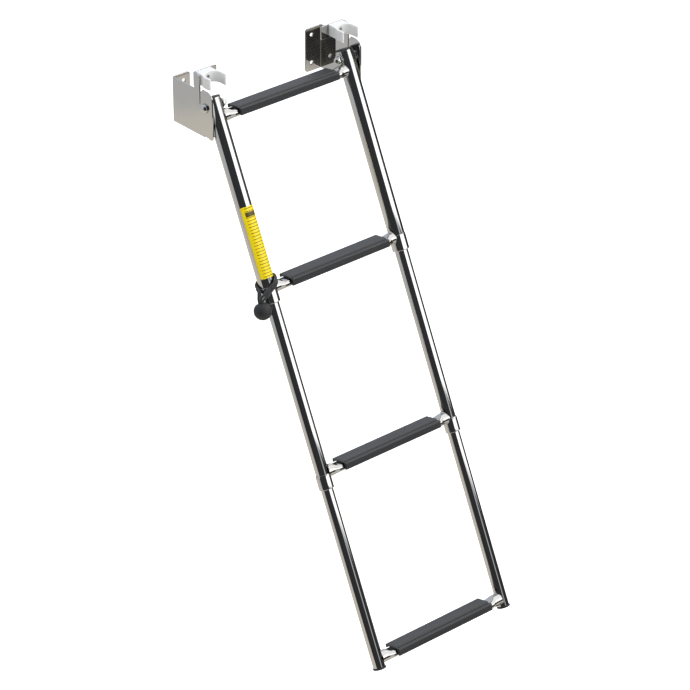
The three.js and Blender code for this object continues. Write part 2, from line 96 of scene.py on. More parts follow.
SLIT = {"rear": 66.2, "front": 67.4, "foot": 3, "mouth": 71.9, "neck": 22}
LUG = {"rear": 77, "front": 85.1, "reach": 15.25, "relief": 1.2, "corner": 1.5}
RIM = 0.7
WASHER = {"radius": 8, "bore": 4.3, "thick": 1.2}
PLATE_WASHER_X = 141
NUT_WASHER_X = 113.8
NUT_FACE = 113.5
PIVOT_NUT = {"corner": 6.6, "height": 8, "hex": 3.4, "waist": 5.1, "bore": 4.3, "depth": 5.4}
BOLT = {"shank": 4, "end": 108.4, "seat": 145.3, "head": 7.8, "height": 6.2, "rim": 1}
CLIP = {
    "bore": 13.1, "half": 17, "bulge": 26, "widest": 3, "neck": 14.1, "tip": 11.5, "back": 25.2,
    "shoulder": 3.6, "taper": 0.5, "tip_corner": 2.6, "mouth_corner": 1.1, "back_corner": 3,
}
CLIP_CENTRE = 41
CLIP_HALF_HEIGHT = 9
CLIP_SCREW = {
    "across": 17, "hole": 2.3, "counterbore": 4, "floor": 17,
    "head": 3.6, "head_height": 2.8, "shank": 2, "seat": 16.7, "end": 33,
}
CLIP_NUT = {"radius": 3.9, "height": 3, "gap": 0.3}
LABEL = {"top": 156, "foot": 267, "half_angle": 64, "radius": 13.075, "half_thick": 0.125}
BALL = {"radius": 13.74, "flat": 11.7, "x": -25.6, "y": -8, "down": 311}
CORD_RADIUS = 2.1
CORD_PITCH = 4.7
CORD_ROUTE = (
    (-25.6, 11.0, 298.5),
    (-25.6, 11.0, 296.5),
    (-23.6, 12.6, 293.6),
    (-16.8, 15.4, 289.4),
    (-7.0, 15.7, 284.4),
    (4.0, 15.7, 278.8),
    (12.0, 10.4, 273.0),
    (15.7, 1.0, 268.6),
    (11.5, -10.8, 268.8),
    (0.0, -15.8, 272.0),
    (-11.5, -10.8, 277.5),
    (-16.2, -1.0, 283.5),
    (-20.4, 2.6, 290.0),
    (-23.4, 5.0, 296.0),
    (-23.4, 5.0, 298.5),
)

UPRIGHT = Matrix.Identity(4)
LEANING = Matrix.Translation((0, -PIVOT_OUT * MM, 0)) @ Matrix.Rotation(radians(-LEAN), 4, "X")


def shifted(x, y, z):
    """A move by millimetres."""
    return Matrix.Translation((x * MM, y * MM, z * MM))


# ---- Camera ----
def camera(azimuth, elevation, distance, target, lens):
    a, e = radians(azimuth), radians(elevation)
    back = Vector((sin(a) * cos(e), -cos(a) * cos(e), sin(e)))
    data = bpy.data.cameras.new("camera")
    data.lens = lens
    data.sensor_width = 36
    data.clip_end = 100
    obj = bpy.data.objects.new("camera", data)
    obj.location = Vector(target) + back * distance
    obj.rotation_mode = "QUATERNION"
    obj.rotation_quaternion = (-back).to_track_quat("-Z", "Y")
    bpy.context.scene.collection.objects.link(obj)
    bpy.context.scene.camera = obj


camera(azimuth=-40.734, elevation=29.621, distance=5.165, target=(-0.0459, -0.278, -0.3495), lens=180.26)


# ---- Node helpers ----
def new_material(name):
    """A new material, its node tree and its principled shader."""
    material = bpy.data.materials.new(name)
    material.use_nodes = True
    tree = material.node_tree
    shader = tree.nodes["Principled BSDF"]
    return material, tree, shader


def node(tree, kind, inputs=None, **settings):
    """A node with its settings, and its inputs as values or as the sockets that feed them."""
    made = tree.nodes.new(kind)
    for key, value in settings.items():
        setattr(made, key, value)
    for key, value in (inputs or {}).items():
        if isinstance(value, bpy.types.NodeSocket):
            tree.links.new(value, made.inputs[key])
        else:
            made.inputs[key].default_value = value
    return made


def object_noise(tree, scale, detail=3, stretch=(1, 1, 1)):
    """Noise fixed to the piece, its grain stretched by the given factors."""
    where = node(tree, "ShaderNodeTexCoord").outputs["Object"]
    mapped = node(tree, "ShaderNodeMapping", {"Vector": where, "Scale": stretch})
    made = node(tree, "ShaderNodeTexNoise", {"Vector": mapped.outputs[0], "Scale": scale, "Detail": detail})
    return made.outputs["Fac"]


def ranged(tree, value, low, high, start=0.3, end=0.7):
    """The value's range from start to end, mapped onto low to high."""
    inputs = {"Value": value, "From Min": start, "From Max": end, "To Min": low, "To Max": high}
    return node(tree, "ShaderNodeMapRange", inputs).outputs["Result"]


def bump(tree, shader, height, depth):
    """Surface relief of the given depth in metres."""
    made = node(tree, "ShaderNodeBump", {"Height": height, "Strength": 1.0, "Distance": depth})
    tree.links.new(made.outputs["Normal"], shader.inputs["Normal"])


def mottled(tree, shader, value, dark, light):
    """Base colour that drifts between two close tones."""
    mixed = node(
        tree, "ShaderNodeMix", {"Factor": value, "A": (*dark, 1), "B": (*light, 1)}, data_type="RGBA"
    )
    tree.links.new(mixed.outputs["Result"], shader.inputs["Base Color"])


# ---- Materials ----
def polished_steel():
    material, tree, shader = new_material("polished_steel")
    shader.inputs["Metallic"].default_value = 1
    mottled(tree, shader, object_noise(tree, 9), (0.64, 0.63, 0.61), (0.67, 0.66, 0.645))
    smudges = object_noise(tree, 26, 6)
    tree.links.new(ranged(tree, smudges, 0.03, 0.055), shader.inputs["Roughness"])
    return material


def tread_plastic():
    material, tree, shader = new_material("tread_plastic")
    streaks = object_noise(tree, 60, 5, (0.15, 1, 1))
    mottled(tree, shader, streaks, (0.027, 0.0275, 0.029), (0.041, 0.0415, 0.044))
    wear = object_noise(tree, 90, 4, (0.1, 1, 1))
    tree.links.new(ranged(tree, wear, 0.30, 0.40), shader.inputs["Roughness"])
    bump(tree, shader, object_noise(tree, 2600, 3, (0.25, 1, 1)), 0.00003)
    return material


def cap_plastic():
    material, tree, shader = new_material("cap_plastic")
    mottled(tree, shader, object_noise(tree, 120), (0.018, 0.018, 0.019), (0.028, 0.028, 0.030))
    tree.links.new(ranged(tree, object_noise(tree, 200, 4), 0.34, 0.5), shader.inputs["Roughness"])
    bump(tree, shader, object_noise(tree, 3000, 2), 0.00003)
    return material


def white_nylon():
    material, tree, shader = new_material("white_nylon")
    mottled(tree, shader, object_noise(tree, 70, 4), (0.80, 0.80, 0.795), (0.86, 0.86, 0.855))
    shader.inputs["Subsurface Weight"].default_value = 0.4
    shader.inputs["Subsurface Radius"].default_value = (0.004, 0.004, 0.004)
    shader.inputs["Subsurface Scale"].default_value = 1.0
    tree.links.new(ranged(tree, object_noise(tree, 160, 3), 0.36, 0.48), shader.inputs["Roughness"])
    bump(tree, shader, object_noise(tree, 1400, 2), 0.00003)
    return material


def black_rubber():
    material, tree, shader = new_material("black_rubber")
    mottled(tree, shader, object_noise(tree, 80), (0.016, 0.016, 0.017), (0.026, 0.026, 0.027))
    tree.links.new(ranged(tree, object_noise(tree, 240, 4), 0.46, 0.6), shader.inputs["Roughness"])
    bump(tree, shader, object_noise(tree, 2200, 3), 0.00006)
    return material


def elastic_cord():
    material, tree, shader = new_material("elastic_cord")
    mottled(tree, shader, object_noise(tree, 900, 2), (0.010, 0.010, 0.011), (0.030, 0.030, 0.031))
    shader.inputs["Roughness"].default_value = 0.72
    shader.inputs["Sheen Weight"].default_value = 0.35
    bump(tree, shader, object_noise(tree, 5200, 2), 0.00008)
    return material


def yellow_label():
    """Yellow vinyl with a plain dark header bar and thin rows of dark lines."""
    material, tree, shader = new_material("yellow_label")
    where = node(tree, "ShaderNodeTexCoord").outputs["Object"]
    parts = node(tree, "ShaderNodeSeparateXYZ", {"Vector": where}).outputs
    row_pitch, line_half, side_half = 0.0048, 0.00045, 0.0085
    header, header_half = 0.168, 0.0035

    def within(value, half):
        distance = node(tree, "ShaderNodeMath", {0: value}, operation="ABSOLUTE").outputs[0]
        return node(tree, "ShaderNodeMath", {0: distance, 1: half}, operation="LESS_THAN").outputs[0]

    def combined(a, b, operation):
        return node(tree, "ShaderNodeMath", {0: a, 1: b}, operation=operation).outputs[0]

    rows = within(combined(parts["Z"], row_pitch / 2, "PINGPONG"), line_half)
    bar = within(combined(parts["Z"], header, "ADD"), header_half)
    bars = combined(combined(rows, bar, "MAXIMUM"), within(parts["X"], side_half), "MULTIPLY")
    noise = object_noise(tree, 140, 4)
    yellow = node(
        tree,
        "ShaderNodeMix",
        {"Factor": noise, "A": (0.88, 0.66, 0.003, 1), "B": (0.96, 0.76, 0.006, 1)},
        data_type="RGBA",
    ).outputs["Result"]
    mixed = node(
        tree, "ShaderNodeMix", {"Factor": bars, "A": yellow, "B": (0.10, 0.075, 0.01, 1)}, data_type="RGBA"
    )
    tree.links.new(mixed.outputs["Result"], shader.inputs["Base Color"])
    tree.links.new(ranged(tree, noise, 0.28, 0.42), shader.inputs["Roughness"])
    bump(tree, shader, object_noise(tree, 700, 3), 0.00002)
    return material


FINISHES = {
    make.__name__: make()
    for make in (
        polished_steel,
        tread_plastic,
        cap_plastic,
        white_nylon,
        black_rubber,
        elastic_cord,
        yellow_label,
    )
}


# ---- Outlines ----
def eased(corners, closed=True, steps=5, support=0.35):
    """Points of an outline of (x, y, radius) corners, each turned into an arc. A corner with a radius also
    gets a point a little before and after its arc, which keeps the flats beside it flat."""
    points = []
    count = len(corners)
    for i, (x, y, radius) in enumerate(corners):
        here = Vector((x, y))
        if not radius or (not closed and i in (0, count - 1)):
            points.append(here)
            continue
        before = Vector(corners[i - 1][:2]) - here
        after = Vector(corners[(i + 1) % count][:2]) - here
        half = before.angle(after) / 2
        room = 0.49 * min(before.length, after.length)
        reach = min(radius / tan(half), room)
        a, b = before.normalized(), after.normalized()
        centre = here + (a + b).normalized() * (reach / cos(half))
        start, end = here + a * reach - centre, here + b * reach - centre
        sweep = atan2(start.x * end.y - start.y * end.x, start.dot(end))
        if reach + support < room:
            points.append(here + a * (reach + support))
        points += [centre + Matrix.Rotation(sweep * k / steps, 2) @ start for k in range(steps + 1)]
        if reach + support < room:
            points.append(here + b * (reach + support))
    return [(p.x, p.y) for p in points]


def circle(x, y, radius, sides=40, clockwise=True):
    """A round hole's outline, clockwise so that the material lies on its left."""
    sense = -1 if clockwise else 1
    angles = [sense * TURN * k / sides for k in range(sides)]
    return [(x + radius * cos(t), y + radius * sin(t)) for t in angles]


def inset(loop, by):
    """The outline moved to its left by the given distance."""
    moved = []
    count = len(loop)
    for i in range(count):
        before, here, after = (Vector(loop[(i + k) % count]) for k in (-1, 0, 1))
        first, second = (here - before).normalized(), (after - here).normalized()
        n, m = Vector((-first.y, first.x)), Vector((-second.y, second.x))
        moved.append(here + (n + m) * (by / (1 + n.dot(m))))
    return moved


# ---- Meshes ----
def loft(rings, closed=False, wrap=True):
    """A skin over rings that hold equally many points, as a bmesh."""
    made = bmesh.new()
    rows = [[made.verts.new(p) for p in ring] for ring in rings]
    count = len(rows[0])
    spans = zip(rows, rows[1:] + rows[:1]) if closed else zip(rows, rows[1:])
    for a, b in spans:
        for j in range(count if wrap else count - 1):
            k = (j + 1) % count
            made.faces.new((a[j], a[k], b[k], b[j]))
    return made


def turned(profile, sides=72, closed=False, section=None):
    """A turned piece about the Z axis from (radius, height) points. A section function may reshape a radius
    at an angle, as for the flats of a nut."""
    angles = [TURN * k / sides for k in range(sides)]
    shape = section or (lambda radius, angle: radius)
    rings = [[(shape(r, t) * cos(t), shape(r, t) * sin(t), z) for t in angles] for r, z in profile]
    made = loft(rings, closed)
    bmesh.ops.remove_doubles(made, verts=made.verts, dist=1e-5)
    return made


def slab(loops, half, edge, steps=4, support=0.3):
    """A flat slab in (u, v, h) with an outline and holes, its rims rounded to the edge radius."""
    turns = [pi / 2 * k / steps for k in range(steps + 1)]
    rows = [(edge + support, half)]
    rows += [(edge * (1 - sin(t)), half - edge * (1 - cos(t))) for t in turns]
    rows += [(by, -height) for by, height in reversed(rows)]
    made = bmesh.new()
    rims = {0: [], len(rows) - 1: []}
    for loop in loops:
        rings = []
        for by, height in rows:
            rings.append([made.verts.new((*p, height)) for p in inset(loop, by)])
        for a, b in zip(rings, rings[1:]):
            for j in range(len(a)):
                k = (j + 1) % len(a)
                made.faces.new((a[j], a[k], b[k], b[j]))
        for row in rims:
            ring = rings[row]
            rims[row] += [made.edges.get((ring[j], ring[(j + 1) % len(ring)])) for j in range(len(ring))]
    for edges in rims.values():
        bmesh.ops.triangle_fill(made, use_beauty=True, edges=edges)
    return made


def scored(made, axis, stations):
    """Cuts the mesh across at each station along u (axis 0) or v (axis 1), so that it can bend there."""
    normal = Vector((0, 0, 0))
    normal[axis] = 1
    for at in stations:
        bmesh.ops.bisect_plane(
            made, geom=made.verts[:] + made.edges[:] + made.faces[:], plane_co=normal * at, plane_no=normal
        )
    return made


def mapped(made, where):
    """Moves every vertex by a function of its three coordinates."""
    for vertex in made.verts:
        vertex.co = where(*vertex.co)
    return made


def piece(name, made, finish, body, nodes, place=UPRIGHT, sharp=40, baked=True):
    """Turns a bmesh in millimetres into a piece that rides on a body and stands for CAD nodes. Its place
    goes into its mesh, unless its material reads the piece's own axes."""
    bmesh.ops.recalc_face_normals(made, faces=made.faces)
    mesh = bpy.data.meshes.new(name)
    made.to_mesh(mesh)
    made.free()
    mesh.transform((place if baked else UPRIGHT) @ Matrix.Scale(MM, 4))
    mesh.shade_smooth()
    mesh.set_sharp_from_angle(angle=radians(sharp))
    mesh.materials.append(FINISHES[finish])
    obj = bpy.data.objects.new(name, mesh)
    bpy.context.scene.collection.objects.link(obj)
    obj.matrix_world = UPRIGHT if baked else place
    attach(obj, body)
    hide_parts(*nodes)
    return obj


def on_rails(name, make, finish, body, node_name):
    """The same piece on the left and the right rail, with its Z axis up the rail."""
    for side, sign in SIDES:
        place = LEANING @ shifted(sign * RAIL_X, 0, 0)
        piece(f"{name}_{side}", make(), finish, body, [f"{node_name}_{side}"], place)


def on_both_sides(name, make, finish, node_name, place=UPRIGHT):
    """A bracket piece drawn for the right side, and its mirror image on the left."""
    for side, sign in SIDES:
        made = mapped(make(), lambda x, y, z: place @ Vector((x, y, z)))
        mapped(made, lambda x, y, z, sign=sign: (sign * x, y, z))
        piece(f"{name}_{side}", made, finish, "brackets", [f"{node_name}_{side}"])


# ---- Brackets: one sheet, folded at the flange, the clip tab and the stop lug ----
FOLD_X = PLATE_X - BEND
MID_BEND = BEND - THICK / 2
FOLD_ARC = MID_BEND * pi / 2
FLANGE_FOLD = BEND
TAB_FOLD = TOWER["rear"] + BEND
LUG_FOLD = PLATE["foot"] + BEND


def quarter_bend(before, height):
    """Where a point of the sheet goes that lies this far before a fold (ahead of its centre, outward)."""
    if before >= 0:
        return before, MID_BEND + height
    if before > -FOLD_ARC:
        angle = -before / MID_BEND
        return -(MID_BEND + height) * sin(angle), (MID_BEND + height) * cos(angle)
    return -(MID_BEND + height), before + FOLD_ARC


def folded(u, v, height):
    """A point of the flat sheet, u from the transom and v up, on the right bracket."""
    if v < LUG_FOLD and LUG["rear"] - 0.5 < u < LUG["front"] + 0.5:
        ahead, outward = quarter_bend(v - LUG_FOLD, height)
        return FOLD_X + outward, -u, LUG_FOLD + ahead
    fold = TAB_FOLD if v > (PLATE["top"] + TAB["foot"]) / 2 and u < TAB_FOLD else FLANGE_FOLD
    ahead, outward = quarter_bend(u - fold, height)
    return FOLD_X + outward, -(fold + ahead), v


def fold_stations(fold, steps=7, support=0.3):
    """Where the sheet is scored for one fold."""
    end = fold - FOLD_ARC
    return [fold + support, *(fold - FOLD_ARC * k / steps for k in range(steps + 1)), end - support]


def past_fold(fold, reach):
    """Where a line lies on the flat sheet that is this far from the side plate's face once folded."""
    return fold - FOLD_ARC - (reach - BEND)


def bracket_sheet():
    """The bracket cut flat, with its holes, then folded."""
    flange_end = past_fold(FLANGE_FOLD, FLANGE["width"])
    tab_end = past_fold(TAB_FOLD, TAB["width"])
    lug_end = past_fold(LUG_FOLD, LUG["reach"])
    top, foot, relief, inner_corner = PLATE["top"], PLATE["foot"], LUG["relief"], 0.3
    outline = eased([
        (flange_end, foot, FLANGE["corner"]),
        (LUG["rear"] - relief, foot, 0.8),
        (LUG["rear"] - relief, LUG_FOLD, inner_corner),
        (LUG["rear"], LUG_FOLD, inner_corner),
        (LUG["rear"], lug_end, LUG["corner"]),
        (LUG["front"], lug_end, LUG["corner"]),
        (LUG["front"], LUG_FOLD, inner_corner),
        (LUG["front"] + relief, LUG_FOLD, inner_corner),
        (LUG["front"] + relief, foot, 0.8),
        (PLATE["depth"], foot, PLATE["foot_corner"]),
        (PLATE["depth"], PLATE["front_top"], PLATE["top_corner"]),
        (SLIT["mouth"], PLATE["front_top"], 0.9),
        (SLIT["front"], SLIT["neck"], 0.9),
        (SLIT["front"], SLIT["foot"], inner_corner),
        (SLIT["rear"], SLIT["foot"], inner_corner),
        (TOWER["front"], TOWER["top"], TOWER["corner"]),
        (tab_end, TOWER["top"], TAB["corner"]),
        (tab_end, TAB["foot"], TAB["corner"]),
        (TAB_FOLD, TAB["foot"], 0.9),
        (TAB_FOLD, top, 0.9),
        (flange_end, top, FLANGE["corner"]),
    ], steps=6)
    screw_u = past_fold(FLANGE_FOLD, FLANGE["hole_across"])
    holes = [
        circle(screw_u, top - FLANGE["top_hole"], FLANGE["hole"]),
        circle(screw_u, foot + FLANGE["foot_hole"], FLANGE["hole"]),
        circle(past_fold(TAB_FOLD, CLIP_SCREW["across"]), CLIP_CENTRE, CLIP_SCREW["hole"]),
        circle(PIVOT_OUT, 0, WASHER["bore"]),
    ]
    made = slab([outline, *holes], THICK / 2, RIM)
    scored(made, 0, fold_stations(FLANGE_FOLD))
    scored(made, 0, fold_stations(TAB_FOLD))
    scored(made, 1, fold_stations(LUG_FOLD))
    return mapped(made, folded)


# ---- Clips ----
def clip_outline(flank_steps=14, bore_steps=32):
    """The clip in plan, sideways and towards the transom from the upright rail's axis: bulging arms round
    the bore, and a narrower base."""
    c = CLIP
    centre = c["half"] - c["bulge"]
    start = asin((c["widest"] - c["tip"] + c["shoulder"]) / c["bulge"])
    end = acos((c["neck"] - centre) / c["bulge"])
    turns = [start + (end - start) * k / flank_steps for k in range(flank_steps + 1)]
    flank = [(centre + c["bulge"] * cos(t), c["bulge"] * sin(t) - c["widest"], 0) for t in turns]
    tip_half = flank[0][0] - c["taper"]
    right = [(tip_half, -c["tip"], c["tip_corner"]), *flank, (c["neck"], c["back"], c["back_corner"])]
    left = [(-u, v, radius) for u, v, radius in reversed(right)]
    bore_turns = [pi - pi * k / bore_steps for k in range(bore_steps + 1)]
    bore = [(c["bore"] * cos(t), c["bore"] * sin(t), 0) for t in bore_turns]
    mouth = [(sign * c["bore"], -c["tip"], c["mouth_corner"]) for sign in (-1, 1)]
    return eased([*right, *left, mouth[0], *bore, mouth[1]])


def clip_body():
    """The clip before its counterbore is cut."""
    made = slab([clip_outline()], CLIP_HALF_HEIGHT, 0.9, steps=5)
    return mapped(made, lambda u, v, h: (RAIL_X + u, -PIVOT_OUT + v, CLIP_CENTRE + h))


def drilled(obj, sign, sharp=35):
    """Cuts the screw's counterbore into a clip, from its groove towards the transom."""
    radius, depth = CLIP_SCREW["counterbore"], CLIP_SCREW["floor"]
    bore = turned([(0, 0), (radius, 0), (radius, depth), (0, depth)], 40)
    made = mapped(bore, lambda x, y, z: (sign * RAIL_X + x, -PIVOT_OUT + z, CLIP_CENTRE - y))
    bmesh.ops.recalc_face_normals(made, faces=made.faces)
    mesh = bpy.data.meshes.new("counterbore")
    made.to_mesh(mesh)
    made.free()
    mesh.transform(Matrix.Scale(MM, 4))
    tool = bpy.data.objects.new("counterbore", mesh)
    bpy.context.scene.collection.objects.link(tool)
    cut = obj.modifiers.new("counterbore", "BOOLEAN")
    cut.operation, cut.solver, cut.object = "DIFFERENCE", "EXACT", tool
    bpy.context.view_layer.update()
    graph = bpy.context.evaluated_depsgraph_get()
    result = bpy.data.meshes.new_from_object(obj.evaluated_get(graph))
    obj.modifiers.clear()
    obj.data = result
    result.shade_smooth()
    result.set_sharp_from_angle(angle=radians(sharp))
    bpy.data.objects.remove(tool)


# ---- Fasteners ----
def rounded_profile(corners, steps=5):
    """An open profile from (radius, height, corner radius) points."""
    return eased(corners, closed=False, steps=steps, support=0.15)


def dome(radius, foot, height, steps=12):
    """Profile points of a dome from its rim to its crown."""
    angles = [pi / 2 * k / steps for k in range(steps + 1)]
    return [(radius * cos(t), foot + height * sin(t)) for t in angles]


def hexagon(corner_radius):
    """A section that trims a radius to the flats of a hexagon."""
    flat = corner_radius * cos(pi / 6)

    def section(radius, angle):
        within = (angle + pi / 6) % (pi / 3) - pi / 6
        return min(radius, flat / cos(within))

    return section


def hex_nut(corner_radius, bore, foot, top):
    """A nut from foot to top with chamfered corners."""
    chamfer = 0.13 * corner_radius
    profile = [
        (bore, foot),
        (corner_radius - chamfer, foot),
        (corner_radius, foot + chamfer * 0.6),
        (corner_radius, top - chamfer * 0.6),
        (corner_radius - chamfer, top),
        (bore, top),
    ]
    return turned(profile, 96, closed=True, section=hexagon(corner_radius))


def clip_nut():
    """The nut behind a clip's tab."""
    return hex_nut(CLIP_NUT["radius"], CLIP_SCREW["hole"], 0, CLIP_NUT["height"])


def washer_ring():
    """A flat washer with rounded edges."""
    radius, bore, thick = WASHER["radius"], WASHER["bore"], WASHER["thick"]
    profile = eased([(bore, 0, 0.2), (radius, 0, 0.35), (radius, thick, 0.35), (bore, thick, 0.2)], steps=3)
    return turned(profile, 56, closed=True)


def pivot_bolt():
    """Shank along Z from its inboard end, with a domed head."""
    b = BOLT
    edge = 0.25
    crown = dome(b["head"] - edge, b["seat"] + b["rim"], b["height"] - b["rim"])
    shank = rounded_profile([
        (0, b["end"], 0),
        (b["shank"], b["end"], 0.5),
        (b["shank"], b["seat"], 0),
        (b["head"], b["seat"], edge),
        (b["head"], b["seat"] + b["rim"], edge),
    ])
    return turned(shank + crown, 56)


def pivot_nut():
    """An acorn nut along Z, its dome inboard."""
    n = PIVOT_NUT
    foot = NUT_FACE - n["hex"]
    roof = NUT_FACE - n["depth"]
    chamfer = 0.8
    profile = [
        *reversed([(r, 2 * foot - h) for r, h in dome(n["waist"], foot, n["height"] - n["hex"])]),
        (n["waist"] + 0.2, foot - 0.02),
        (n["corner"] - chamfer, foot),
        (n["corner"], foot + chamfer * 0.6),
        (n["corner"], NUT_FACE - chamfer * 0.5),
        (n["corner"] - chamfer, NUT_FACE),
        (n["bore"], NUT_FACE),
        (n["bore"], roof),
        (0, roof),
    ]
    return turned(profile, 96, section=hexagon(n["corner"]))


def clip_screw():
    """Pan head that bears towards the transom, and its shank."""
    c = CLIP_SCREW
    shank, seat, end, bevel = c["shank"], c["seat"], c["end"], 0.4
    crown = reversed([(r, seat - h) for r, h in dome(c["head"], 0, c["head_height"], 8)])
    return turned([*crown, (shank, seat), (shank, end - bevel), (shank - bevel, end), (0, end)], 32)


# ---- Rails and their fittings ----
def tube(outer, inner, top, foot, edge=0.25):
    """A plain tube along Z between two distances down the rail."""
    corners = [(inner, -foot, edge), (outer, -foot, edge), (outer, -top, edge), (inner, -top, edge)]
    return turned(eased(corners, steps=3), 96, closed=True)


def upper_rail():
    """The upper tube."""
    return tube(UPPER["outer"], UPPER["inner"], UPPER["top"], UPPER["foot"])


def upper_collar():
    """The collar at the foot of an upper tube, which narrows it to the middle tube."""
    c = UPPER_COLLAR
    corners = [
        (c["bore"], -c["foot"], 0.4),
        (c["outer"], -c["foot"], 1.9),
        (c["outer"], -c["top"], 0.5),
        (c["bore"], -c["top"], 0.2),
    ]
    return turned(eased(corners, steps=6), 96, closed=True)


def slide_bush():
    """The lipped bush on top of a middle tube, inside the upper one."""
    c = SLIDE_BUSH
    corners = [
        (c["bore"], -c["foot"], 0.2),
        (c["outer"], -c["foot"], 0.2),
        (c["outer"], -c["top"] + c["lip"], 0.3),
        (c["lip_radius"], -c["top"] + c["lip"], 0.3),
        (c["lip_radius"], -c["top"], 0.2),
        (c["bore"], -c["top"], 0.1),
    ]
    return turned(eased(corners, steps=3), 72, closed=True)


def middle_rail():
    """The middle tube, with the narrower guide at its foot."""
    c = MIDDLE
    corners = [
        (c["guide"], -c["foot"], 0.15),
        (c["outer"], -c["foot"], 0.2),
        (c["outer"], -c["top"], 0.2),
        (c["inner"], -c["top"], 0.15),
        (c["inner"], -c["step"], 0),
        (c["guide"], -c["step"] - 1, 0),
    ]
    return turned(eased(corners, steps=3), 96, closed=True)


def lower_collar():
    """The collar at the foot of a middle tube, its top coned."""
    c = LOWER_COLLAR
    corners = [
        (c["bore"], -c["foot"], 0.3),
        (c["outer"], -c["foot"], 1.6),
        (c["outer"], -c["top"] - c["cone"], 4),
        (c["outer"] - c["cone_width"], -c["top"], 0.1),
        (c["socket"], -c["top"], 0.1),
        (c["socket"], -c["seat"], 0),
        (c["bore"], -c["seat"], 0),
    ]
    return turned(eased(corners, steps=5), 96, closed=True)


def lower_rail():
    """The lower tube with its swaged top."""
    c = LOWER
    corners = [
        (c["inner"], -c["foot"], 0.2),
        (c["outer"], -c["foot"], 0.2),
        (c["outer"], -c["flare_foot"] - 0.6, 0.4),
        (c["flare"], -c["flare_foot"], 0.4),
        (c["flare"], -c["top"], 0.2),
        (c["inner"], -c["top"], 0.2),
    ]
    return turned(eased(corners, steps=3), 96, closed=True)


def top_plug():
    """The flanged plug in the top of an upper tube."""
    c = TOP_PLUG
    profile = rounded_profile([
        (0, -c["stem_foot"], 0),
        (c["stem"], -c["stem_foot"], 0.5),
        (c["stem"], -c["seat"], 0),
        (UPPER["outer"], -c["seat"], 0.2),
        (UPPER["outer"], -c["top"], 1.1),
        (0, -c["top"], 0),
    ])
    return turned(profile, 72)


def foot_cap():
    """The flanged cap in the foot of a lower tube."""
    c = FOOT_CAP
    profile = rounded_profile([
        (0, -c["foot"], 0),
        (c["radius"], -c["foot"], 1.1),
        (c["radius"], -c["top"], 1.1),
        (c["stem"], -c["top"], 0),
        (c["stem"], -c["stem_top"], 0.6),
        (0, -c["stem_top"], 0),
    ])
    return turned(profile, 72)


# ---- Rungs and treads ----
def smooth_step(t):
    """From 0 to 1 with level ends."""
    t = min(max(t, 0), 1)
    return t * t * (3 - 2 * t)


def rung_section(flat, tilt, extra=0.0, sides=64):
    """Points round a rung, from circle (flat 0) to pressed oval (flat 1), turned by its tilt."""
    press = RUNG_FLAT
    half_width = RUNG_RADIUS + (press["half_width"] - RUNG_RADIUS) * flat + extra
    half_height = RUNG_RADIUS + ((press["top"] - press["foot"]) / 2 - RUNG_RADIUS) * flat + extra
    centre = (press["top"] + press["foot"]) / 2 * flat
    power = 1 - 0.3 * flat
    points = []
    for k in range(sides):
        across, up = cos(TURN * k / sides), sin(TURN * k / sides)
        y = half_width * copysign(abs(across) ** power, across)
        z = centre + half_height * copysign(abs(up) ** power, up)
        points.append((y * cos(tilt) - z * sin(tilt), y * sin(tilt) + z * cos(tilt)))
    return points


def rung(rail_radius, fillet, tilt, sink=0.35, least_square=24, press_steps=12, fillet_steps=8):
    """A rung from rail to rail, its ends shaped to the rails and flared into weld fillets. The least square
    keeps the shaped ends clear of the rails' axes."""
    start, end = RUNG_FLAT["end"], RUNG_FLAT["round_from"]
    half_ring = []
    for k in range(press_steps + 1):
        x = start + (end - start) * k / press_steps
        half_ring.append([(x, y, z) for y, z in rung_section(1 - smooth_step(k / press_steps), tilt)])

    def saddle(y):
        return RAIL_X - sqrt(max(rail_radius**2 - y**2, least_square)) + sink

    for k in range(fillet_steps + 1):
        turn = pi / 2 * k / fillet_steps
        section = rung_section(0, tilt, fillet * (1 - cos(turn)))
        half_ring.append([(saddle(y) - fillet * (1 - sin(turn)), y, z) for y, z in section])
    flipped = [[(-x, y, z) for x, y, z in ring] for ring in reversed(half_ring)]
    return loft(flipped + half_ring)


def tread_outline():
    """The tread's section, outboard and up: a channel with a finely ribbed deck, which steps down to a
    valley behind a rolled bead along the front."""
    t = TREAD
    front = t["front"]
    deck, bead, valley = t["top"] - t["deck_drop"], t["top"] - t["bead_drop"], t["top"] - t["valley_drop"]
    ribs = []
    for k in range(t["ribs"]):
        groove = front - t["first_rib"] - t["rib_pitch"] * k
        ribs += [(groove, deck - t["rib_depth"], 0.5), (groove - t["rib_pitch"] / 2, deck, 0.5)]
    return eased([
        (t["rear"], t["rear_lip"], 0.9),
        (-t["inside"], t["rear_lip"], 0.9),
        (-t["inside"], t["under"], 0.4),
        (t["inside"], t["under"], 0.5),
        (t["inside"], t["lip"], 0.9),
        (front, t["lip"], 1.6),
        (front, bead, 1.7),
        (front - t["bead_end"], bead, 1.2),
        (front - t["valley_start"], valley, 0.9),
        (front - t["valley_end"], valley, 0.5),
        (front - t["deck_start"], deck, 0.7),
        *ribs,
        (t["rear"], deck, 2.4),
    ], steps=5, support=0.2)


def tread():
    """A tread along X, its section square to it."""
    half = TREAD["half"]
    made = slab([tread_outline()], half, 0.6)
    mapped(made, lambda u, v, h: (h, -u, v))
    return scored(made, 0, [half * k / 12 for k in range(-11, 12)])


